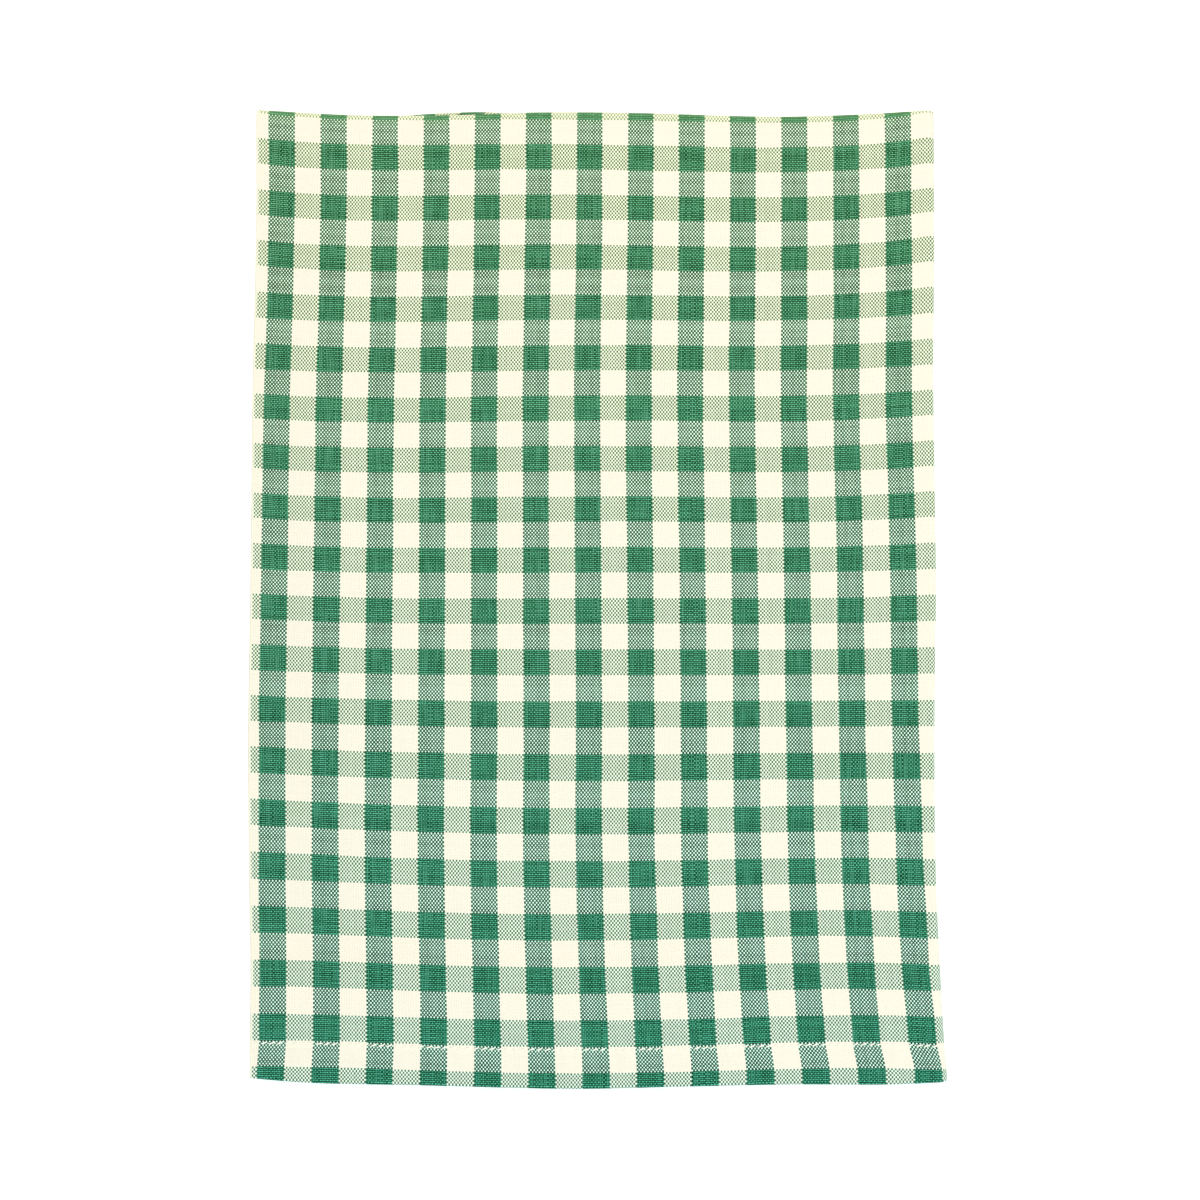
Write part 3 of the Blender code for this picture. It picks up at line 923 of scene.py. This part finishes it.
# Spun cotton sewing thread: matt, off-white, with the slanting ridges of its ply. They are too fine to
# show as far away as this, so they are drawn about four times as coarse.
sewing_thread = bpy.data.materials.new("spun_cotton_sewing_thread")
sewing_thread.use_nodes = True
PLY_RIDGES = 0.7  # from one real ridge to the next
DRAWN_COARSER = 3.946
WAVE_UNIT = 2.0 * math.pi / 10.0  # from one ridge to the next in the wave texture's own units
PLY_RELIEF = 0.04
ply = sewing_thread.node_tree
thread_surface = ply.nodes["Principled BSDF"]
where = add(ply, "ShaderNodeTexCoord", {})
twist = add(
    ply,
    "ShaderNodeTexWave",
    {
        "Vector": where.outputs["Object"],
        "Scale": WAVE_UNIT / (PLY_RIDGES * DRAWN_COARSER * MM),
        "Distortion": 1.5,
        "Detail": 1.0,
    },
    bands_direction="DIAGONAL",
)
thread_colour = add(ply, "ShaderNodeValToRGB", {0: twist.outputs["Fac"]})
thread_colour.color_ramp.elements[0].color = linear("#f5f3e6")
thread_colour.color_ramp.elements[1].color = linear("#fefdf3")
ply.links.new(thread_colour.outputs[0], thread_surface.inputs["Base Color"])
thread_surface.inputs["Roughness"].default_value = 0.75
thread_surface.inputs["Sheen Weight"].default_value = 0.05
ply_bump = add(ply, "ShaderNodeBump", {"Height": twist.outputs["Fac"], "Distance": PLY_RELIEF * MM})
ply.links.new(ply_bump.outputs[0], thread_surface.inputs["Normal"])

stitching = bpy.data.objects.new("hem_stitching", stitch_mesh)
bpy.context.scene.collection.objects.link(stitching)
stitch_mesh.materials.append(sewing_thread)
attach(stitching, "root")
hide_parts("towel_cloth")

# ---- Surface, light and camera -------------------------------------------------------------------
# The towel lies on a plain white studio table under two large soft lights, seen from nearly straight
# above. The table is a matt painted sheet, and the lights are softboxes on stands out of the picture.

floor_mesh = bpy.data.meshes.new("studio table")
FLOOR_HALF = 12.0  # metres
TABLE_TOP = -0.05 * MM  # a hair under the cloth, so that the two don't flicker where they touch
corners = [
    (x * FLOOR_HALF, y * FLOOR_HALF, TABLE_TOP) for x, y in ((-1, -1), (1, -1), (1, 1), (-1, 1))
]
floor_mesh.from_pydata(corners, [], [(0, 1, 2, 3)])
paint = bpy.data.materials.new("matt_white_studio_paint")
paint.use_nodes = True
table_surface = paint.node_tree.nodes["Principled BSDF"]
table_surface.inputs["Base Color"].default_value = linear("#fdfdfd")
table_surface.inputs["Roughness"].default_value = 0.9
# It gives off a little light of its own, so that only a faint shadow shows.
table_surface.inputs["Emission Color"].default_value = linear("#ffffff")
table_surface.inputs["Emission Strength"].default_value = 0.4
# From beneath it is clear, so that the towel's underside can be looked at.
which_side = add(paint.node_tree, "ShaderNodeNewGeometry", {})
clear = add(paint.node_tree, "ShaderNodeBsdfTransparent", {})
one_sided = add(
    paint.node_tree,
    "ShaderNodeMixShader",
    {0: which_side.outputs["Backfacing"], 1: table_surface, 2: clear},
)
paint_output = paint.node_tree.nodes["Material Output"]
paint.node_tree.links.new(one_sided.outputs[0], paint_output.inputs["Surface"])
floor_mesh.materials.append(paint)
table = bpy.data.objects.new("studio_table", floor_mesh)
bpy.context.scene.collection.objects.link(table)

world = bpy.data.worlds.new("studio walls")
bpy.context.scene.world = world
world.use_nodes = True
world.node_tree.nodes["Background"].inputs["Color"].default_value = linear("#f4f8ff")
world.node_tree.nodes["Background"].inputs["Strength"].default_value = 0.5


def softbox(name, position, target, size, power, hex_colour):
    """A square soft light that faces a point."""
    light = bpy.data.lights.new(name, "AREA")
    light.shape = "SQUARE"
    light.size = size
    light.energy = power
    light.color = linear(hex_colour)[:3]
    lamp = bpy.data.objects.new(name, light)
    bpy.context.scene.collection.objects.link(lamp)
    lamp.location = position
    lamp.rotation_euler = (Vector(target) - Vector(position)).to_track_quat("-Z", "Y").to_euler()


softbox(
    "key softbox",
    position=(0.15, 0.75, 1.7),
    target=(0.0, 0.03, 0.0),
    size=1.2,
    power=23.8,
    hex_colour="#fff5db",
)
softbox(
    "fill softbox",
    position=(0.5, -1.2, 1.5),
    target=(0.0, -0.05, 0.0),
    size=1.0,
    power=16.5,
    hex_colour="#e0f7ff",
)

camera_data = bpy.data.cameras.new("photo camera")
camera_data.lens = 70.0
camera_data.sensor_width = 36.0
camera = bpy.data.objects.new("photo_camera", camera_data)
bpy.context.scene.collection.objects.link(camera)
look_at = np.array((1.87, -3.49, 5.0)) * MM
DISTANCE = 0.8428
tilt = math.radians(4.29)
yaw = math.radians(-1.39)
roll = math.radians(-0.13)
forward = np.array((math.sin(yaw), math.sin(tilt), -math.cos(tilt) * math.cos(yaw)))
forward /= np.linalg.norm(forward)
rightward = np.cross(forward, (0.0, 1.0, 0.0))
rightward /= np.linalg.norm(rightward)
upward = np.cross(rightward, forward)
turned_right = math.cos(roll) * rightward + math.sin(roll) * upward
turned_up = -math.sin(roll) * rightward + math.cos(roll) * upward
eye = look_at - forward * DISTANCE
pose = np.eye(4)
pose[:3, :3] = np.stack([turned_right, turned_up, -forward], axis=1)
pose[:3, 3] = eye
camera.matrix_world = Matrix(pose.tolist())
bpy.context.scene.camera = camera
# The denoiser keeps threads as fine as these only when its guides are left as they are.
bpy.context.scene.cycles.denoising_prefilter = "NONE"
bpy.context.scene.view_settings.view_transform = "Standard"
